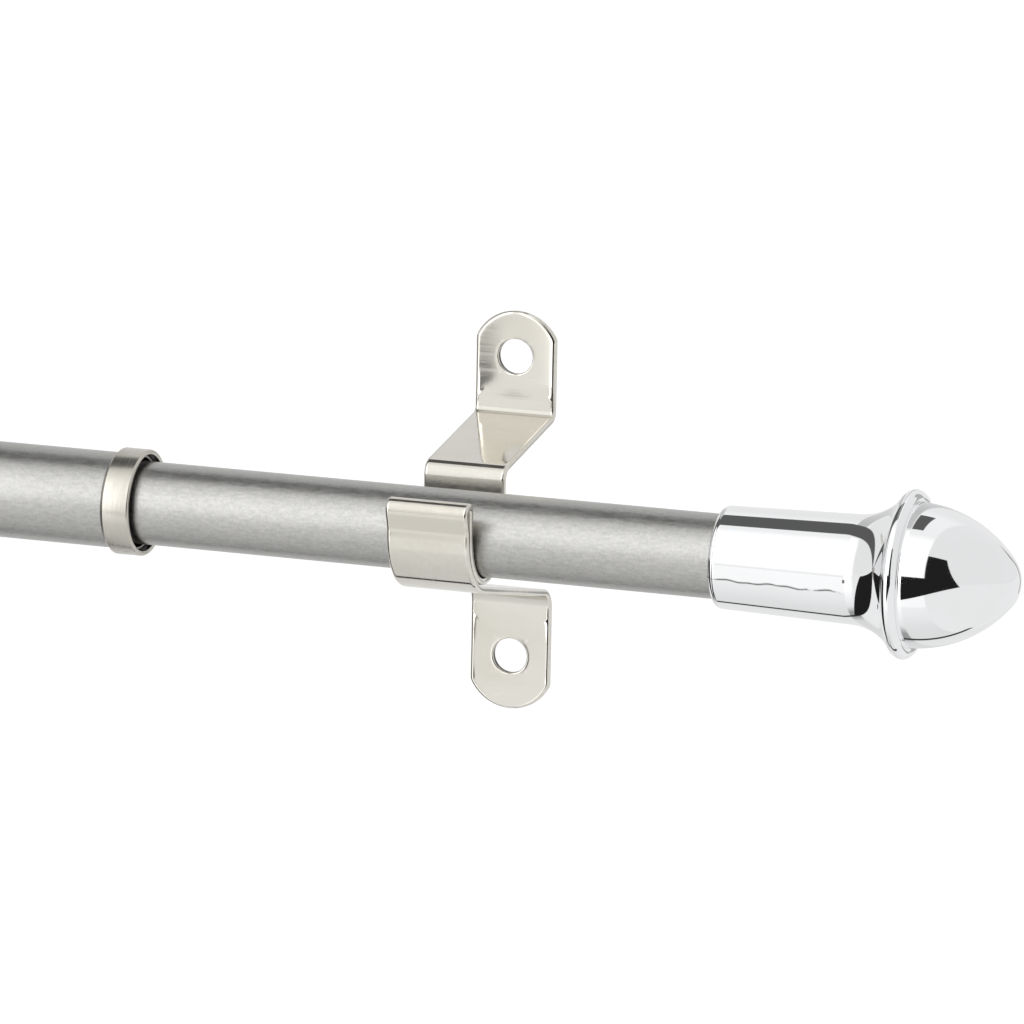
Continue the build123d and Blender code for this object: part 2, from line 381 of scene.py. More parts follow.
# %% The bending plan
STRIP_THICKNESS = 1.0 * MM
HOOK_RADIUS = 6.55 * MM
WALL_DISTANCE = 27.6 * MM
UPPER_TAB_TOP = 23.9 * MM
LOWER_TAB_BOTTOM = -31.0 * MM
ARM_AT_WALL, ARM_AT_HOOK = 10.0 * MM, 6.6 * MM
LOWER_ARM_AT_WALL = -14.9 * MM
UPPER_BEND, FRONT_BEND, LOWER_BEND = 0.8 * MM, 2.1 * MM, 2.3 * MM
FOLD_TOP, FOLD_RADIUS = 4.8 * MM, 1.45 * MM
FOLD_NECK_DROP, FOLD_CLOSED, FOLD_NECK = 0.4 * MM, 0.6 * MM, 2.0 * MM
LAYER_GAP = 0.12 * MM


def show_face_corners():
    """Corners (y, z) of the strip's show face from the hook's centre, and the bend at each.

    The lower arm starts on the outer layer's circle, radius R, and touches it, so its slope is
    acos(R / reach) - atan(tab / drop) for a lower bend that is reach away from the centre.
    """
    tab = WALL_DISTANCE - STRIP_THICKNESS
    outer = HOOK_RADIUS + LAYER_GAP + 2 * STRIP_THICKNESS
    slope = math.acos(outer / math.hypot(tab, LOWER_ARM_AT_WALL)) - math.atan2(tab, -LOWER_ARM_AT_WALL)
    fold_front = -HOOK_RADIUS - 2 * FOLD_RADIUS
    fold_z = FOLD_TOP - FOLD_RADIUS
    corners = [
        (tab, UPPER_TAB_TOP),
        (tab, ARM_AT_WALL),
        (HOOK_RADIUS, ARM_AT_HOOK),
        (HOOK_RADIUS, -HOOK_RADIUS),
        (-HOOK_RADIUS, -HOOK_RADIUS),
        (-HOOK_RADIUS, FOLD_TOP),
        (fold_front, FOLD_TOP),
        (fold_front, fold_z - FOLD_NECK_DROP),
        (-outer, FOLD_CLOSED),
        (-outer, LOWER_ARM_AT_WALL + (tab + outer) * math.tan(slope)),
        (tab, LOWER_ARM_AT_WALL),
        (tab, LOWER_TAB_BOTTOM),
    ]
    bends = [UPPER_BEND, FRONT_BEND, HOOK_RADIUS, HOOK_RADIUS, FOLD_RADIUS, FOLD_RADIUS,
             FOLD_NECK, FOLD_NECK, outer, LOWER_BEND]
    return np.array(corners), np.array(bends)


def bending_plan(corners, bends):
    """Lengths and curvatures of the straights and arcs that round the corners off.

    A corner that turns by t with radius r takes r tan(t / 2) off each leg and adds r t of arc.
    """
    legs = np.diff(corners, axis=0)
    heading = np.arctan2(legs[:, 1], legs[:, 0])
    turns = (np.diff(heading) + np.pi) % (2 * np.pi) - np.pi
    taken = bends * np.tan(np.abs(turns) / 2)
    straight = np.hypot(*legs.T) - np.append(0, taken) - np.append(taken, 0)
    lengths, curvature = [straight[0]], [0.0]
    for bend, angle, leg in zip(bends, turns, straight[1:]):
        lengths += [bend * abs(angle), leg]
        curvature += [math.copysign(1 / bend, angle), 0.0]
    return {"start": corners[0], "heading": heading[0],
            "lengths": np.array(lengths), "curvature": np.array(curvature)}


plan = bending_plan(*show_face_corners())
strip_length = plan["lengths"].sum()
shortest = plan["lengths"].min()
print("strip length, mm:", round(strip_length / MM, 2), "shortest part:", round(shortest / MM, 3))


# %% [markdown]
# Walking along the plan gives the place and heading at any distance. On a straight the walk goes
# on along its heading; on an arc of curvature k the heading grows as k d, and the place is the
# integral of its cosine and sine.

# %% Walking along the strip
def walk(distance):
    """Place (y, z) and backward normal of the show face at each distance from the upper end."""
    lengths, curvature = plan["lengths"], plan["curvature"]
    starts = np.append(0, np.cumsum(lengths))
    headings = plan["heading"] + np.append(0, np.cumsum(lengths * curvature))
    places = [plan["start"]]
    for length, k, heading in zip(lengths, curvature, headings):
        places.append(places[-1] + piece_of_walk(length, k, heading))
    which = np.clip(np.searchsorted(starts, distance, side="right") - 1, 0, len(lengths) - 1)
    along = distance - starts[which]
    k, heading = curvature[which], headings[which]
    place = np.array(places)[which] + piece_of_walk(along, k, heading)
    now = heading + k * along
    return place, np.stack([-np.sin(now), np.cos(now)], axis=-1)


def piece_of_walk(along, k, heading):
    """The step made on one piece: its chord, turned by half of what the heading grows."""
    half = k * along / 2
    chord = along * np.sinc(half / np.pi)
    return np.stack([chord * np.cos(heading + half), chord * np.sin(heading + half)], axis=-1)


check_place, check_back = walk(np.array([0.0, strip_length]))
print("walk ends, mm:", (check_place / MM).round(2).tolist())


# %% [markdown]
# The blank's outline is two side lines and two end arcs with rounded corners. Moved in by the
# corner radius, it is a sharp outline, and the distance to the real one is the corner radius
# less the distance to the sharp one. The holes come in as a second distance, and the rolled edge
# is a rounded profile of the smaller of the two.

# %% The flat blank
STRIP_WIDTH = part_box("right_bracket")[1].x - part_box("right_bracket")[0].x
HALF_WIDTH = STRIP_WIDTH / 2
TAB_ARC = 6.3 * MM
TAB_CORNER = 0.6 * MM
HOLE_RADIUS = 2.4 * MM
HOLE_ROUND = 0.2 * MM
EDGE_ROUND = STRIP_THICKNESS / 2
EDGE_POWER = 2.3
UPPER_HOLE_IN = 6.2 * MM        # from a tab's end to the middle of its hole
LOWER_HOLE_IN = 7.4 * MM
UPPER_TAB_LENGTH = 12.4 * MM    # flat length of a tab's patch, up to its bend
LOWER_TAB_LENGTH = 13.4 * MM
ACROSS = 30
EDGE_ZONE = 0.75 * MM           # the rows across are even between the two edge zones
FAR = 1.0                       # a distance at which a hole has no effect


def edge_distance(s, x):
    """Distance from (s, x) to the blank's outline, s being measured from a tab's end.

    Outside the sharp outline, the nearest point is on the side line past the corner, on the end
    arc where the ray from the arc's centre crosses it, or else the corner itself.
    """
    inset, arc_inset = HALF_WIDTH - TAB_CORNER, TAB_ARC - TAB_CORNER
    corner_s = TAB_ARC - math.sqrt(arc_inset ** 2 - inset ** 2)
    side = np.abs(x) - inset
    end = np.hypot(x, s - TAB_ARC) - arc_inset
    corner = np.hypot(side, s - corner_s)
    over_arc = np.abs(x) * (TAB_ARC - corner_s) < inset * (TAB_ARC - s)
    beyond = np.where(s >= corner_s, side, np.where(over_arc, end, corner))
    within = np.maximum(side, np.where(s < TAB_ARC, end, side))
    return TAB_CORNER - np.where(within <= 0, within, beyond)


def half_thickness(to_edge, to_hole):
    """Half the strip's thickness: full inside, rolled to nothing at an edge, eased at a hole.

    The rolled edge is the curve (1 - (1 - d / r)^n)^(1 / n), a little squarer than a circle.
    """
    t = np.clip(1 - to_edge / EDGE_ROUND, 0, 1)
    edge = EDGE_ROUND * (1 - t ** EDGE_POWER) ** (1 / EDGE_POWER)
    h = np.clip(1 - to_hole / HOLE_ROUND, 0, 1)
    hole = EDGE_ROUND - HOLE_ROUND * (1 - np.sqrt(1 - h ** 2))
    return np.minimum(edge, hole)


edge_steps = np.array([0.0, 0.012, 0.05, 0.11, 0.2, 0.31, 0.42, 0.55]) * MM
flat_half = HALF_WIDTH - EDGE_ZONE
inner_columns = np.linspace(-flat_half, flat_half, ACROSS - 2 * len(edge_steps))
columns = np.concatenate([-HALF_WIDTH + edge_steps, inner_columns, (HALF_WIDTH - edge_steps)[::-1]])
print("columns across the strip:", len(columns))


# %% [markdown]
# Each tab is a ring of rays from its hole to the outline, or to the line where the tab meets the
# rest of the strip. The outline has no simple equation along a ray, so it is found by halving an
# interval forty times for all rays at once.

# %% A tab as rays round its hole
TAB_RAYS = 96
HALVINGS = 40
ROWS_BETWEEN = 6                # rings between the hole's fine rows and the edge's
HOLE_STEPS = np.array([0.0, 0.006, 0.025, 0.06, 0.1, 0.15, 0.21]) * MM


def tab_points(hole_in, tab_length):
    """(s, x) of each ray and step, and the half thickness there: rays x steps arrays."""
    junction = np.arctan2(columns, np.full_like(columns, tab_length - hole_in))
    gap = (2 * np.pi - (junction[-1] - junction[0])) / (TAB_RAYS + 1)
    free = junction[-1] + gap * np.arange(1, TAB_RAYS + 1)
    inside, outside = np.full(TAB_RAYS, HOLE_RADIUS), np.full(TAB_RAYS, 3 * TAB_ARC)
    for _ in range(HALVINGS):
        half = (inside + outside) / 2
        is_in = edge_distance(hole_in + half * np.cos(free), half * np.sin(free)) > 0
        inside, outside = np.where(is_in, half, inside), np.where(is_in, outside, half)
    angle = np.append(junction, free)[:, None]
    reach = np.append(np.hypot(columns, tab_length - hole_in), inside)[:, None]
    near_hole = np.broadcast_to(HOLE_RADIUS + HOLE_STEPS, (len(angle), len(HOLE_STEPS)))
    near_edge = reach - edge_steps[::-1]
    share = np.linspace(0, 1, ROWS_BETWEEN + 2)[1:-1]
    between = near_hole[:, -1:] + share * (near_edge[:, :1] - near_hole[:, -1:])
    radius = np.concatenate([near_hole, between, near_edge], axis=1)
    s, x = hole_in + radius * np.cos(angle), radius * np.sin(angle)
    to_edge = np.where(edge_distance(s, x) < WELD, 0, edge_distance(s, x))
    return s, x, half_thickness(to_edge, radius - HOLE_RADIUS)


# %% [markdown]
# Between the tabs the strip is a plain grid. Its rows crowd together in the bends, where the
# surface turns, and lie further apart on the straights.

# %% The middle of the strip
ARC_STEP = math.radians(5)
STRAIGHT_STEP = 1.5 * MM


def strip_rows():
    """Distances of the rows between the two tabs: every 5 degrees on an arc, 1.5 mm elsewhere."""
    starts = np.append(0, np.cumsum(plan["lengths"]))
    rows = [UPPER_TAB_LENGTH, strip_length - LOWER_TAB_LENGTH]
    for start, length, k in zip(starts, plan["lengths"], plan["curvature"]):
        step = ARC_STEP / abs(k) if k else STRAIGHT_STEP
        rows.extend(np.linspace(start, start + length, max(2, int(length / step) + 2)))
    rows = np.unique(np.round(rows, 9))
    return rows[(rows >= UPPER_TAB_LENGTH - WELD) & (rows <= strip_length - LOWER_TAB_LENGTH + WELD)]


# %% [markdown]
# Every patch is written twice, once half a thickness in front of the middle of the strip and
# once behind it. The two meet at the rolled edges, and a short wall joins them in each hole.

# %% Bending the blank
TAB_CROWN = 0.11 * MM           # how far the press leaves the middle of the upper tab proud
CROWN_FADES = (9.0 * MM, 12.4 * MM)
HOOK_LEAN = 0.5 * MM            # a fold is never quite square, so the hook stands to one side
LEAN_RISES, LEAN_FALLS = (5, 8), (18, 19)   # pieces of the plan: under the rod, and the lower arm


def smooth_step(value, low, high):
    """0 below low, 1 above high, and 3 t^2 - 2 t^3 between them."""
    t = np.clip((value - low) / (high - low), 0, 1)
    return t * t * (3 - 2 * t)


def crown(s, x):
    """The upper tab's slight crown: c (1 - (x / half width)^2), easing to nothing at the bend."""
    return TAB_CROWN * (1 - smooth_step(s, *CROWN_FADES)) * (1 - (x / HALF_WIDTH) ** 2)


def lean(s):
    """How far the strip stands aside: rising under the rod, falling along the lower arm."""
    starts = np.append(0, np.cumsum(plan["lengths"]))
    rise, fall = (smooth_step(s, starts[a], starts[b]) for a, b in (LEAN_RISES, LEAN_FALLS))
    return HOOK_LEAN * (rise - fall)


def bend(s, x, half, side):
    """Carries blank points to the bent strip: the show face is side -1, the back is side +1."""
    place, back = walk(s.ravel())
    depth = STRIP_THICKNESS / 2 + side * half.ravel() - crown(s, x).ravel()
    bent = place + back * depth[:, None]
    return np.column_stack([(x + lean(s)).ravel(), bent])


def make_bracket(name, node):
    """Both faces of two tabs and the middle, and the hole walls, bent and welded into one mesh.

    A tab's rays close round its hole, so its last ray is joined with its first.
    """
    low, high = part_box(node)
    origin = np.array([middle((low, high), X), high.y - WALL_DISTANCE, high.z - UPPER_TAB_TOP])
    upper = tab_points(UPPER_HOLE_IN, UPPER_TAB_LENGTH)
    lower = tab_points(LOWER_HOLE_IN, LOWER_TAB_LENGTH)
    lower = (strip_length - lower[0], lower[1], lower[2])
    rows = strip_rows()
    s, x = np.meshgrid(rows, columns, indexing="ij")
    from_edge = HALF_WIDTH - np.abs(x)
    middle_half = half_thickness(np.where(from_edge < WELD, 0, from_edge), np.full_like(x, FAR))
    points, faces, bare, count = [], [], [], 0
    for s_grid, x_grid, half, closed in ((*upper, True), (*lower, True), (s, x, middle_half, False)):
        for side in (-1, 1):
            points.append(bend(s_grid, x_grid, half, side))
            # The first ring round each hole and the hole walls are flagged bare; the plate colours them
            # near-black as painted shade.
            at_hole = np.zeros(s_grid.shape)
            at_hole[:, 0] = closed
            bare.append(at_hole.ravel())
            if closed:
                rays, steps = s_grid.shape
                faces.append(grid_faces(rays + 1, steps) % s_grid.size + count)
            else:
                faces.append(grid_faces(*s_grid.shape, first=count))
            count += s_grid.size
    for s_grid, x_grid, half in (upper, lower):
        rim = [bend(s_grid[:, 0], x_grid[:, 0], half[:, 0], side) for side in (-1, 1)]
        points.append(np.vstack(rim))
        bare.append(np.ones(2 * len(s_grid)))
        faces.append(grid_faces(2, len(s_grid), closed=True, first=count))
        count += 2 * len(s_grid)
    piece = make_piece(name, np.vstack(points) + origin, np.vstack(faces), bare=np.concatenate(bare))
    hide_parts(node)
    return piece


right_bracket = make_bracket("right_bracket_strip", "right_bracket")
left_bracket = make_bracket("left_bracket_strip", "left_bracket")
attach(right_bracket, "right_bracket")
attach(left_bracket, "left_bracket")


# %% [markdown]
# ## The camera
# The camera looks slightly down on the rod from its left. Its three axes are worked out from a
# turn, a lift and a small roll, and it aims at a point given along those axes, so the framing
# doesn't change when the turn does.

# %% Camera
PICTURE_TURN, PICTURE_LIFT, PICTURE_ROLL = 19.018, 12.195, 1.132
CAMERA_DISTANCE = 0.8694
AIM_RIGHT, AIM_UP = 8.646 * MM, 2.471 * MM
SENSOR = 36.0
VIEW_WIDTH = 0.15451            # picture width over distance
CLIP = (0.01, 50.0)


def camera_axes(turn_deg, lift_deg, roll_deg):
    """Right, up and back vectors of a camera that looks along +Y at turn 0 and lift 0."""
    t, e, r = map(math.radians, (turn_deg, lift_deg, roll_deg))
    back = np.array([math.sin(t) * math.cos(e), -math.cos(t) * math.cos(e), math.sin(e)])
    right = np.array([math.cos(t), math.sin(t), 0.0])
    up = np.cross(back, right)
    return math.cos(r) * right + math.sin(r) * up, -math.sin(r) * right + math.cos(r) * up, back


def make_camera():
    """Adds the camera, its matrix built from the three axes and its place."""
    right, up, back = camera_axes(PICTURE_TURN, PICTURE_LIFT, PICTURE_ROLL)
    aim = rod_axis + right * AIM_RIGHT + up * AIM_UP
    data = bpy.data.cameras.new("camera")
    data.sensor_width = SENSOR
    data.lens = SENSOR / VIEW_WIDTH
    data.clip_start, data.clip_end = CLIP
    camera = bpy.data.objects.new("camera", data)
    place = aim + back * CAMERA_DISTANCE
    camera.matrix_world = Matrix([*np.column_stack([right, up, back, place]).tolist(), (0, 0, 0, 1)])
    bpy.context.scene.collection.objects.link(camera)
    bpy.context.scene.camera = camera
    print("camera lens, mm:", round(data.lens, 1))


make_camera()


# %% [markdown]
# Shader trees are easier to read when a node is one line. The helper below adds a node, sets or
# links its inputs by name, and hands back its main output; the small ones do common sums.

# %% Helpers for shader trees
def add(tree, kind, out=0, props=None, **inputs):
    """Adds a node of one kind, fills its inputs by name, and returns its output socket.

    An input called i0, i1 and so on is given by its number.
    """
    made = tree.nodes.new("ShaderNode" + kind)
    for key, value in (props or {}).items():
        setattr(made, key, value)
    for key, value in inputs.items():
        by_number = key[0] == "i" and key[1:].isdigit()
        socket = made.inputs[int(key[1:]) if by_number else key.replace("_", " ")]
        if isinstance(value, bpy.types.NodeSocket):
            tree.links.new(value, socket)
        else:
            socket.default_value = value
    return made.outputs[out]


def maths(tree, operation, a, b=0.0):
    """One sum of two numbers."""
    return add(tree, "Math", props={"operation": operation}, i0=a, i1=b)


def ease(tree, value, low, high):
    """0 below low, 1 above high, and a smooth step between them."""
    return add(tree, "MapRange", props={"interpolation_type": "SMOOTHSTEP"}, Value=value,
               From_Min=low, From_Max=high, To_Min=0.0, To_Max=1.0)


def between(tree, value, low, high, soft):
    """1 between low and high, fading to 0 over the soft width outside them."""
    rise, fall = ease(tree, value, low - soft, low), ease(tree, value, high, high + soft)
    return maths(tree, "SUBTRACT", rise, fall)


def mix_values(tree, share, a, b):
    """a where share is 0 and b where it is 1."""
    return add(tree, "Mix", props={"data_type": "FLOAT"}, i0=share, i2=a, i3=b)


def mix_colours(tree, share, a, b):
    """The same for two colours."""
    return add(tree, "Mix", out=2, props={"data_type": "RGBA"}, i0=share, i6=a, i7=b)


# %% [markdown]
# ## The studio
# A small shiny thing is mostly a picture of what stands round it. Lamps and cards could be built
# as objects, but every change to them would move several reflections at once. Here the world
# shader paints a white tent instead: its brightness goes by the angle round the rod's axis, so
# the long tubes get the long clean bands that a real tent gives. On the tent are the few dark
# things that a studio always has: a strip high up, the thin edge of the table, the camera and
# its stand, and a post. What the camera sees directly is plain and pale.

# %% The tent, as brightness by angle round the rod
TENT = [                        # degrees round the rod (0 front, 90 up, 180 back), brightness
    (-180, 0.86), (-115, 0.85), (-100, 0.79), (-80, 0.82), (-50, 0.92), (-41, 0.95), (-38, 1.06),
    (-7, 1.07), (-5, 0.90), (-4, 0.90), (-2, 1.12), (28, 1.26), (60, 1.26), (72, 1.12), (80, 0.97),
    (124, 0.96), (140, 0.88), (180, 0.86),
]
SIDE_PANELS = [                 # the same, just left and right of the slice that a sleeve mirrors
    (-180, 0.75), (-120, 0.75), (-106, 0.35), (-92, 0.35), (-76, 0.85), (-38, 1.1), (-12, 2.2),
    (14, 3.0), (42, 2.6), (66, 1.5), (84, 1.1), (90, 0.60), (130, 0.55), (180, 0.70),
]
TENT_PEAK = 4.0                 # a ramp's colours stop at 1, so they hold brightness over this
PANEL_PLACES, PANEL_SOFT = ((-0.60, -0.42), (-0.235, -0.155)), 0.02
OPEN_LEFT, OPEN_RIGHT = (-0.70, -0.60), (0.19, 0.22)   # past these the tent's ends are plain
OPEN_ABOVE, OPEN_BELOW = 0.86, 0.90


def tent_ramp(tree, place, levels):
    """Brightness along a run of (degrees, level) stops, for a place from 0 to 1."""
    ramp = tree.nodes.new("ShaderNodeValToRGB")
    tree.links.new(place, ramp.inputs[0])
    stops = ramp.color_ramp.elements
    while len(stops) < len(levels):
        stops.new(0.5)
    for stop, (degrees, bright) in zip(stops, levels):
        stop.position = (degrees + 180) / 360
        stop.color = (*[bright / TENT_PEAK] * 3, 1)
    return maths(tree, "MULTIPLY", ramp.outputs[0], TENT_PEAK)


def white_tent(tree, x, angle):
    """The tent by angle, its side panels where x is in their places, and its plain ends."""
    place = add(tree, "MapRange", Value=angle, From_Min=-180.0, From_Max=180.0)
    bright, panels = tent_ramp(tree, place, TENT), tent_ramp(tree, place, SIDE_PANELS)
    for across in PANEL_PLACES:
        bright = mix_values(tree, between(tree, x, *across, PANEL_SOFT), bright, panels)
    below = maths(tree, "LESS_THAN", angle, 0.0)
    ends_level = mix_values(tree, below, OPEN_ABOVE, OPEN_BELOW)
    left_end = maths(tree, "SUBTRACT", 1.0, ease(tree, x, *OPEN_LEFT))
    ends = maths(tree, "MAXIMUM", ease(tree, x, *OPEN_RIGHT), left_end)
    return mix_values(tree, ends, bright, ends_level)


# %% [markdown]
# A dark thing on the tent is a block between two angles and between two values of x. A block
# whose edge leans reads x with some of the angle added, or the angle with some of x.

# %% Dark things on the tent
DARK = 0.015
SIDE_SOFT = 0.01                # how softly a block ends across x
STRIP_ENDS, STRIP_ANGLES, STRIP_LEVEL = ((-1.0, -0.22), (-0.13, 0.0)), (89, 121), 0.11
STRIP_SOFT = 1.5                # this and the next ones are degrees
LINE_ENDS, LINE_ANGLES, LINE_LEVEL = (-1.0, 0.28), (-113.1, -108.5), 0.05
LINE_SOFT = 1.0
LINE_SLANT = 15.0               # degrees that the line sinks by from x = 1 to x = 0
STAND_LEFT, STAND_RIGHT = -1.6, -0.62
STAND_ANGLES, STAND_SOFT = (-102, -6), 2.0
STAND_LEAN, STAND_UPRIGHT = 0.0037, 68.0    # x per degree, and the degrees at which it is upright
HOOD_BLOCKS = ((-0.14, 0.24, 9.0, 0.0), (0.22, 0.66, 46.0, 0.004))  # left, right, top and lean
HOOD_BOTTOM, HOOD_RISE = -24.0, 27.0
BACK_PANEL, BACK_PANEL_SOFT = (0.27, 0.38), 0.03
BACK_ANGLE, BACK_LEVEL = 159.0, 0.45
POST_SIDES, POST_ANGLES, POST_LEVEL = (-0.43, -0.364), (-19.0, -11.65), 0.22
POST_SOFT = 0.5


def leaning(tree, value, other, slope):
    """value plus slope times the other."""
    return maths(tree, "ADD", value, maths(tree, "MULTIPLY", other, slope))


def block(tree, bright, across, x, angles, angle, soft, level):
    """Paints one level over bright between two values of x and two angles."""
    inside = between(tree, x, *across, SIDE_SOFT)
    share = maths(tree, "MULTIPLY", inside, between(tree, angle, *angles, soft))
    return mix_values(tree, share, bright, level)


def camera_hood(tree, bright, x, angle):
    """The camera and its hood: blocks with a rising lower edge, a flat top and a leaning side."""
    raised = maths(tree, "SUBTRACT", angle, maths(tree, "MULTIPLY", x, HOOD_RISE))
    for left, right, top, lean_by in HOOD_BLOCKS:
        from_left = ease(tree, x, left - SIDE_SOFT, left)
        to_right = maths(tree, "LESS_THAN", leaning(tree, x, angle, lean_by), right)
        above = maths(tree, "MULTIPLY", ease(tree, raised, HOOD_BOTTOM - 1, HOOD_BOTTOM),
                      maths(tree, "LESS_THAN", angle, top))
        share = maths(tree, "MULTIPLY", above, maths(tree, "MULTIPLY", from_left, to_right))
        bright = mix_values(tree, share, bright, DARK)
    return bright


def back_panel(tree, bright, x, angle):
    """A grey panel behind the rod, on both sides of straight back."""
    behind = maths(tree, "GREATER_THAN", maths(tree, "ABSOLUTE", angle), BACK_ANGLE)
    share = maths(tree, "MULTIPLY", behind, between(tree, x, *BACK_PANEL, BACK_PANEL_SOFT))
    return mix_values(tree, share, bright, BACK_LEVEL)


# %% The world shader
def make_tent():
    """World brightness for a direction (x, y, z), from x and the angle atan2(z, -y)."""
    world = bpy.data.worlds.new("tent")
    world.use_nodes = True
    bpy.context.scene.world = world
    tree = world.node_tree
    tree.nodes.clear()
    split = tree.nodes.new("ShaderNodeSeparateXYZ")
    tree.links.new(add(tree, "TexCoord", out="Generated"), split.inputs[0])
    x, y, z = split.outputs
    angle = maths(tree, "DEGREES", maths(tree, "ARCTAN2", z, maths(tree, "MULTIPLY", y, -1.0)))
    bright = white_tent(tree, x, angle)
    for across in STRIP_ENDS:
        bright = block(tree, bright, across, x, STRIP_ANGLES, angle, STRIP_SOFT, STRIP_LEVEL)
    sunk = leaning(tree, angle, x, LINE_SLANT)
    bright = block(tree, bright, LINE_ENDS, x, LINE_ANGLES, sunk, LINE_SOFT, LINE_LEVEL)
    stand_sides = (STAND_LEFT, STAND_RIGHT - STAND_UPRIGHT * STAND_LEAN)
    stand_x = leaning(tree, x, angle, STAND_LEAN)
    bright = block(tree, bright, stand_sides, stand_x, STAND_ANGLES, angle, STAND_SOFT, DARK)
    bright = camera_hood(tree, bright, x, angle)
    bright = block(tree, bright, POST_SIDES, x, POST_ANGLES, angle, POST_SOFT, POST_LEVEL)
    bright = back_panel(tree, bright, x, angle)
    seen = add(tree, "LightPath", out="Is Camera Ray")
    bright = mix_values(tree, seen, bright, 1.0)
    background = add(tree, "Background", Color=bright, Strength=1.0)
    output = tree.nodes.new("ShaderNodeOutputWorld")
    tree.links.new(background, output.inputs[0])
    print("tent stops:", len(TENT), "nodes:", len(tree.nodes))


make_tent()


# %% [markdown]
# ### The floor
# The floor is one large pale sheet well below the rod. It glows a little, so it reads as white
# without a lamp. It would spoil the tent's reflections, so glossy rays pass it by, and its
# underside is clear, so that the rod can be looked at from below.

# %% The floor
FLOOR_DROP = 150 * MM
FLOOR_SIDE = 30.0
FLOOR_COLOUR, FLOOR_ROUGHNESS, FLOOR_GLOW = (0.55, 0.55, 0.55, 1), 0.9, 0.55
WHITE = (1, 1, 1, 1)


def floor_material():
    """Pale and glowing from above, and clear where a ray meets the back of a face."""
    material = bpy.data.materials.new("pale_floor")
    material.use_nodes = True
    tree = material.node_tree
    shader = tree.nodes["Principled BSDF"]
    for label, value in (("Base Color", FLOOR_COLOUR), ("Roughness", FLOOR_ROUGHNESS),
                         ("Emission Color", WHITE), ("Emission Strength", FLOOR_GLOW)):
        shader.inputs[label].default_value = value
    underneath = add(tree, "NewGeometry", out="Backfacing")
    clear = add(tree, "BsdfTransparent")
    one_sided = add(tree, "MixShader", i0=underneath, i1=shader.outputs[0], i2=clear)
    tree.links.new(one_sided, tree.nodes["Material Output"].inputs["Surface"])
    return material


def make_floor():
    """A plain square, seen from above only and never in reflections."""
    half, z = FLOOR_SIDE / 2, cad_low.z - FLOOR_DROP
    corners = np.array([(-half, -half, z), (half, -half, z), (half, half, z), (-half, half, z)])
    mesh = bpy.data.meshes.new("floor")
    mesh.from_pydata(corners.tolist(), [], [(0, 1, 2, 3)])
    mesh.materials.append(floor_material())
    floor = bpy.data.objects.new("floor", mesh)
    bpy.context.scene.collection.objects.link(floor)
    floor.visible_glossy = False
    print("floor height, mm:", round(z / MM, 1))


make_floor()


# %% [markdown]
# ## Finishes
# Five finishes make the object: satin silver paint full of fine metal flakes on the tubes,
# bright nickel plate on the brackets, brushed nickel on the collar, mirror chrome on the
# finials, and plain plastic on the hidden bush. Flakes, handling marks and rubbed edges are
# shared effects, so each is a node group with named inputs and outputs.

# %% Helpers for the effects
def new_group(name, inputs, outputs):
    """An empty shader node group with named number inputs and outputs."""
    tree = bpy.data.node_groups.new(name, "ShaderNodeTree")
    for label, value in inputs:
        socket = tree.interface.new_socket(label, in_out="INPUT", socket_type="NodeSocketFloat")
        socket.default_value = value
    for label in outputs:
        tree.interface.new_socket(label, in_out="OUTPUT", socket_type="NodeSocketFloat")
    return tree, tree.nodes.new("NodeGroupInput").outputs, tree.nodes.new("NodeGroupOutput").inputs


def object_point(tree, stretch=(1.0, 1.0, 1.0)):
    """Object coordinates in metres, stretched along the axes."""
    return add(tree, "Mapping", Vector=add(tree, "TexCoord", out="Object"), Scale=stretch)


def noise(tree, point, scale, detail=2.0, roughness=0.5):
    """Smooth random values from 0 to 1, with scale waves to the metre."""
    return add(tree, "TexNoise", Vector=point, Scale=scale, Detail=detail, Roughness=roughness)


# %% [markdown]
# ### Metal flakes
# Silver paint holds tiny flat flakes, each tilted its own way. A Voronoi pattern gives every
# cell its own brightness, and noise drawn out along the tube gives the faint streaks that the
# drawing die leaves.

# %% Metal flakes
STREAK_STRETCH, STREAK_SCALE = (0.38, 1.0, 1.0), 2300.0
STREAK_DETAIL, STREAK_ROUGHNESS, STREAK_RANGE = 3.0, 0.65, (0.30, 0.70)


def make_flake_group():
    """Sparkle: one brightness per cell. Streaks: stretched noise, with its contrast raised."""
    tree, given, result = new_group("metal_flakes", [("Flakes per m", 3000.0)], ["Sparkle", "Streaks"])
    cell = add(tree, "TexVoronoi", out="Color", Vector=object_point(tree), Scale=given[0])
    tree.links.new(add(tree, "SeparateColor", Color=cell), result["Sparkle"])
    along = object_point(tree, STREAK_STRETCH)
    streaks = noise(tree, along, STREAK_SCALE, STREAK_DETAIL, STREAK_ROUGHNESS)
    tree.links.new(ease(tree, streaks, *STREAK_RANGE), result["Streaks"])
    return tree


# %% [markdown]
# ### Handling marks
# Plate that has been handled carries long hair-fine scratches in patches, and soft smears. A
# scratch is where drawn-out noise crosses its middle value, kept only inside larger patches.

# %% Handling marks
SCRATCH_SETS = ((0.0, (0.03, 1.0, 1.0)), (0.5, (0.05, 1.0, 1.0)))   # turn in radians, stretch
SCRATCH_SCALE, PATCH_SCALE, PATCH_RANGE = 1300.0, 160.0, (0.52, 0.70)
SMEAR_STRETCH, SMEAR_SCALE, SMEAR_RANGE = (0.5, 1, 1), 90.0, (0.35, 0.7)


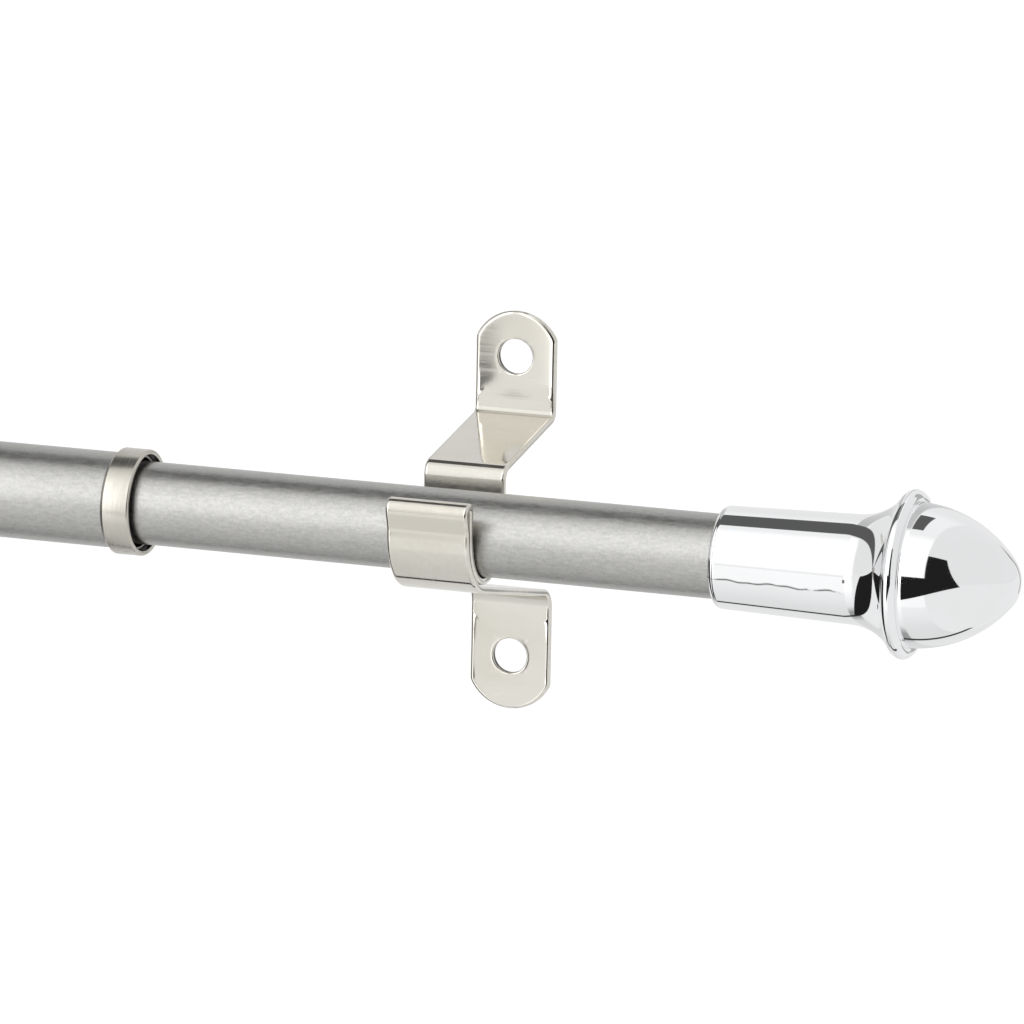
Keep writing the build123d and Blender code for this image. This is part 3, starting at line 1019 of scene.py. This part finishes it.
def make_mark_group():
    """Scratches: |noise - 0.5| under the given width, inside patches. Smears: soft noise."""
    tree, given, result = new_group("handling_marks", [("Scratch width", 0.012)], ["Scratches", "Smears"])
    lines = None
    for turned, stretch in SCRATCH_SETS:
        point = add(tree, "Mapping", Vector=object_point(tree), Rotation=(0.0, turned, 0.0))
        value = noise(tree, add(tree, "Mapping", Vector=point, Scale=stretch), SCRATCH_SCALE, 1.0)
        off = maths(tree, "ABSOLUTE", maths(tree, "SUBTRACT", value, 0.5))
        line = maths(tree, "LESS_THAN", off, given[0])
        lines = line if lines is None else maths(tree, "MAXIMUM", lines, line)
    patches = ease(tree, noise(tree, object_point(tree), PATCH_SCALE), *PATCH_RANGE)
    tree.links.new(maths(tree, "MULTIPLY", lines, patches), result["Scratches"])
    smears = noise(tree, object_point(tree, SMEAR_STRETCH), SMEAR_SCALE, 4.0, 0.6)
    tree.links.new(ease(tree, smears, *SMEAR_RANGE), result["Smears"])
    return tree


# %% [markdown]
# ### Rubbed edges
# Plate wears first on sharp outside edges. Pointiness says how convex the surface is at each
# point, and fine noise breaks the mask up, because wear is never even.

# %% Rubbed edges
RUB_SCALE, RUB_RANGE = 1400.0, (0.4, 0.62)
FLAT_POINTINESS = 0.5


def make_rub_group():
    """Rub: pointiness from flat up to the given reach, times noise with its contrast raised."""
    tree, given, result = new_group("rubbed_edges", [("Reach", 0.06)], ["Rub"])
    sharp = add(tree, "NewGeometry", out="Pointiness")
    full = maths(tree, "ADD", given[0], FLAT_POINTINESS)
    mask = add(tree, "MapRange", Value=sharp, From_Min=FLAT_POINTINESS, From_Max=full)
    worn = ease(tree, noise(tree, object_point(tree), RUB_SCALE, 3.0), *RUB_RANGE)
    tree.links.new(maths(tree, "MULTIPLY", mask, worn), result["Rub"])
    return tree


flakes, marks, rubs = make_flake_group(), make_mark_group(), make_rub_group()
print("node groups:", [group.name for group in (flakes, marks, rubs)])


# %% Starting a finish
def place_group(tree, group, **inputs):
    """Places a shared effect and returns its outputs by name."""
    made = tree.nodes.new("ShaderNodeGroup")
    made.node_tree = group
    for key, value in inputs.items():
        made.inputs[key.replace("_", " ")].default_value = value
    return made.outputs


def start_finish(name, **values):
    """A new material, its tree and its Principled shader, with plain values on the shader."""
    material = bpy.data.materials.new(name)
    material.use_nodes = True
    shader = material.node_tree.nodes["Principled BSDF"]
    for key, value in values.items():
        shader.inputs[key.replace("_", " ")].default_value = value
    return material, material.node_tree, shader.inputs


def mask_of(tree, name):
    """A mask that a piece's mesh carries as an attribute."""
    return add(tree, "Attribute", out="Fac", props={"attribute_name": name})


# %% [markdown]
# ### Satin silver paint
# The tubes are painted, but the paint is mostly metal, so a metallic shader with a middling
# roughness comes closer than a painted one. Inside a tube there is no paint; the bare bore is
# coloured near-black, far darker than steel, as painted shade.

# %% Satin silver paint
SATIN_FLAKES = 4200.0
SATIN_TONES = (0.385, 0.382, 0.368, 1), (0.525, 0.522, 0.506, 1)
SATIN_ROUGHNESS = 0.29, 0.37
STREAK_SHARE = 0.6
# Near-black: painted shade inside a tube, darker than bare steel really is.
SHADED_BARE_STEEL = (0.05, 0.05, 0.045, 1)


def satin_paint():
    """Tone: flakes and streaks mixed. It moves the colour, the roughness and a fine bump."""
    material, tree, shader = start_finish("satin_silver_paint", Metallic=1.0)
    flake = place_group(tree, flakes, Flakes_per_m=SATIN_FLAKES)
    tone = mix_values(tree, STREAK_SHARE, flake["Sparkle"], flake["Streaks"])
    paint = mix_colours(tree, tone, *SATIN_TONES)
    # Flagged inside faces get the near-black colour: painted shade in the bore.
    tree.links.new(mix_colours(tree, mask_of(tree, "bare"), paint, SHADED_BARE_STEEL), shader["Base Color"])
    tree.links.new(mix_values(tree, flake["Streaks"], *SATIN_ROUGHNESS), shader["Roughness"])
    tree.links.new(add(tree, "Bump", Strength=0.30, Distance=0.00004, Height=tone), shader["Normal"])
    return material


# %% [markdown]
# ### Bright nickel plate
# The strip is polished before it is plated, and nickel is a little yellower than chrome. Smears
# dull it in places, scratches are rougher lines, and rubbed edges are lighter. The punched walls
# of the screw holes are hardly plated at all, and their near-black colour is painted shade.

# %% Bright nickel plate
NICKEL_TONES = (0.695, 0.675, 0.62, 1), (0.645, 0.62, 0.55, 1)
NICKEL_RUBBED = (0.76, 0.74, 0.69, 1)
NICKEL_ROUGHNESS = 0.06, 0.13
NICKEL_SCRATCH, NICKEL_SCRATCH_WIDTH, NICKEL_RUB_REACH = 0.28, 0.008, 0.05
# Near-black: painted shade in the screw holes, darker than punched steel really is.
SHADED_PUNCHED_STEEL = (0.09, 0.085, 0.07, 1)
ROLLING_STRETCH, ROLLING_SCALE = (0.03, 1, 1), 700.0


def nickel_plate():
    """Smears move colour and roughness; noise drawn out along x is the strip's rolling grain."""
    material, tree, shader = start_finish("bright_nickel_plate", Metallic=1.0)
    mark = place_group(tree, marks, Scratch_width=NICKEL_SCRATCH_WIDTH)
    rub = place_group(tree, rubs, Reach=NICKEL_RUB_REACH)["Rub"]
    warm = mix_colours(tree, mark["Smears"], *NICKEL_TONES)
    plate = mix_colours(tree, rub, warm, NICKEL_RUBBED)
    # Flagged hole faces get the near-black colour: painted shade in the holes.
    punched_and_shaded = mix_colours(tree, mask_of(tree, "bare"), plate, SHADED_PUNCHED_STEEL)
    tree.links.new(punched_and_shaded, shader["Base Color"])
    rough = mix_values(tree, mark["Smears"], *NICKEL_ROUGHNESS)
    tree.links.new(mix_values(tree, mark["Scratches"], rough, NICKEL_SCRATCH), shader["Roughness"])
    grain = noise(tree, object_point(tree, ROLLING_STRETCH), ROLLING_SCALE, 3.0)
    tree.links.new(add(tree, "Bump", Strength=0.15, Distance=0.00005, Height=grain), shader["Normal"])
    return material


# %% [markdown]
# ### Brushed nickel on the collar
# The collar is turned on a lathe, so its fine lines run round it. Noise that changes fast along
# the rod and slowly across it gives just that, and it is rougher than the polished strip.

# %% Brushed nickel
COLLAR_TONES = (0.50, 0.48, 0.425, 1), (0.59, 0.57, 0.52, 1)
COLLAR_ROUGHNESS = 0.18, 0.28
COLLAR_SCRATCH, COLLAR_SCRATCH_WIDTH = 0.5, 0.02
# Near-black: painted shade in the collar's bore, not the colour of the metal.
SHADED_COLLAR_BORE = (0.05, 0.047, 0.04, 1)
TURNING_STRETCH, TURNING_SCALE = (1.0, 0.12, 0.12), 3500.0


def brushed_nickel():
    """Turning lines: noise that changes fast along x and slowly across it."""
    material, tree, shader = start_finish("brushed_nickel_plate", Metallic=1.0)
    mark = place_group(tree, marks, Scratch_width=COLLAR_SCRATCH_WIDTH)
    turned_lines = noise(tree, object_point(tree, TURNING_STRETCH), TURNING_SCALE, 3.0, 0.6)
    warm = mix_colours(tree, turned_lines, *COLLAR_TONES)
    # Flagged bore faces get the near-black colour: painted shade inside the collar.
    tree.links.new(mix_colours(tree, mask_of(tree, "bare"), warm, SHADED_COLLAR_BORE), shader["Base Color"])
    rough = mix_values(tree, turned_lines, *COLLAR_ROUGHNESS)
    tree.links.new(mix_values(tree, mark["Scratches"], rough, COLLAR_SCRATCH), shader["Roughness"])
    bump = add(tree, "Bump", Strength=0.25, Distance=0.00003, Height=turned_lines)
    tree.links.new(bump, shader["Normal"])
    return material


# %% [markdown]
# ### Mirror chrome
# The finials are plated plastic: a nearly perfect mirror over a surface that is never quite
# flat, so a very soft wave bends the reflections. Polish never reaches the bottom of the parting
# line, which stays a thin broken dark line along the sleeve.

# %% Mirror chrome
CHROME_TONES = (0.90, 0.905, 0.915, 1), (0.87, 0.875, 0.88, 1)
CHROME_ROUGHNESS = 0.02, 0.05
CHROME_SCRATCH, CHROME_SCRATCH_WIDTH = 0.16, 0.005
SEAM_COLOUR, SEAM_ROUGHNESS = (0.10, 0.10, 0.10, 1), 0.30
BREAK_STRETCH, BREAK_SCALE, BREAK_RANGE = (0.35, 1, 1), 1500.0, (0.34, 0.50)
WAVE_SCALE = 180.0


def mirror_chrome():
    """A mirror with a soft wave; the seam mask, broken by noise, darkens the parting line."""
    material, tree, shader = start_finish("mirror_chrome_plate", Metallic=1.0)
    mark = place_group(tree, marks, Scratch_width=CHROME_SCRATCH_WIDTH)
    tint = mix_colours(tree, mark["Smears"], *CHROME_TONES)
    broken = ease(tree, noise(tree, object_point(tree, BREAK_STRETCH), BREAK_SCALE, 3.0), *BREAK_RANGE)
    seam = maths(tree, "MULTIPLY", mask_of(tree, "seam"), broken)
    tree.links.new(mix_colours(tree, seam, tint, SEAM_COLOUR), shader["Base Color"])
    rough = mix_values(tree, mark["Smears"], *CHROME_ROUGHNESS)
    scratched = mix_values(tree, mark["Scratches"], rough, CHROME_SCRATCH)
    tree.links.new(mix_values(tree, seam, scratched, SEAM_ROUGHNESS), shader["Roughness"])
    wave = noise(tree, object_point(tree), WAVE_SCALE, 1.0)
    tree.links.new(add(tree, "Bump", Strength=0.05, Distance=0.0001, Height=wave), shader["Normal"])
    return material


# %% [markdown]
# ### Bush plastic
# The bush is hidden inside the outer tube until the rod is pulled apart. It is a plain moulding,
# with faint flow marks along the way the plastic ran.

# %% Bush plastic
PLASTIC_TONES = (0.74, 0.74, 0.71, 1), (0.83, 0.83, 0.80, 1)
PLASTIC_ROUGHNESS = 0.42, 0.58
FLOW_STRETCH, FLOW_SCALE = (0.2, 1, 1), 400.0


def bush_plastic():
    """Noise drawn out along x moves the colour, the roughness and a faint bump."""
    material, tree, shader = start_finish("moulded_plastic", Metallic=0.0)
    flow = noise(tree, object_point(tree, FLOW_STRETCH), FLOW_SCALE, 3.0)
    tree.links.new(mix_colours(tree, flow, *PLASTIC_TONES), shader["Base Color"])
    tree.links.new(mix_values(tree, flow, *PLASTIC_ROUGHNESS), shader["Roughness"])
    tree.links.new(add(tree, "Bump", Strength=0.2, Distance=0.00005, Height=flow), shader["Normal"])
    return material


# %% [markdown]
# ## Dressing the pieces
# Each new piece gets one finish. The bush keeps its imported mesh, which is already as fine as the
# real one, and only its finish is new.

# %% Dress every piece
def dress(material, *pieces):
    """Gives the pieces one finish in place of what they had."""
    for piece in pieces:
        piece.data.materials.clear()
        piece.data.materials.append(material)


dress(satin_paint(), inner_tube, outer_tube)
dress(nickel_plate(), right_bracket, left_bracket)
dress(brushed_nickel(), collar)
dress(mirror_chrome(), right_finial, left_finial)
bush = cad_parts["glide_bush"]
bush.material_slots[0].material = bush_plastic()
print("finishes:", [material.name for material in bpy.data.materials])


# %% [markdown]
# ## The view
# Colours are shown with the Standard view transform.

# %% The view transform
bpy.context.scene.view_settings.view_transform = "Standard"
